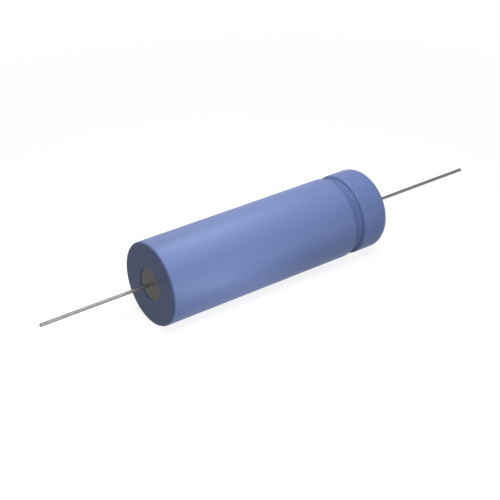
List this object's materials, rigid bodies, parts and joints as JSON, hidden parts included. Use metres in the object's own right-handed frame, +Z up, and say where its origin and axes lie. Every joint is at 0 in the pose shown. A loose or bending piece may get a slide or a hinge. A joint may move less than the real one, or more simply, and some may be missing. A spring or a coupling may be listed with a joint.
{
  "type": "axial electrolytic capacitor",
  "caption": "Round sleeved metal can with a rolled groove near its positive end and a straight wire lead on the axis at each end; stores charge in a through-hole circuit.",
  "frame": {"origin": "on the lead axis, in the middle of the body's length", "axes": "+X along the lead axis towards the positive end with the rolled groove, +Z up"},
  "size_m": [0.1256, 0.02, 0.02],
  "materials": {
    "sleeve_film": "blue shrunk film, glossy",
    "can_aluminium": "drawn, satin",
    "tinned_wire": "tin plated, satin",
    "rivet_aluminium": "cold formed, satin",
    "seal_rubber": "moulded, matt",
    "seal_laminate": "punched laminate, matt",
    "tab_foil": "rolled strip, satin",
    "winding_paper": "soaked paper edges",
    "closing_tape": "plain tape",
    "insulator_paper": "punched paper disc"
  },
  "bodies": {
    "root": {"insulating_sleeve": "sleeve_film", "can": "can_aluminium", "cathode_lead": "tinned_wire", "anode_lead": "tinned_wire", "anode_rivet": "rivet_aluminium", "rivet_washer": "rivet_aluminium", "end_seal": "seal_rubber", "seal_disc": "seal_laminate", "anode_tab": "tab_foil", "cathode_tab": "tab_foil", "wound_element": "winding_paper", "closing_tape": "closing_tape", "upper_insulator": "insulator_paper", "lower_insulator": "insulator_paper"}
  },
  "joints": []
}
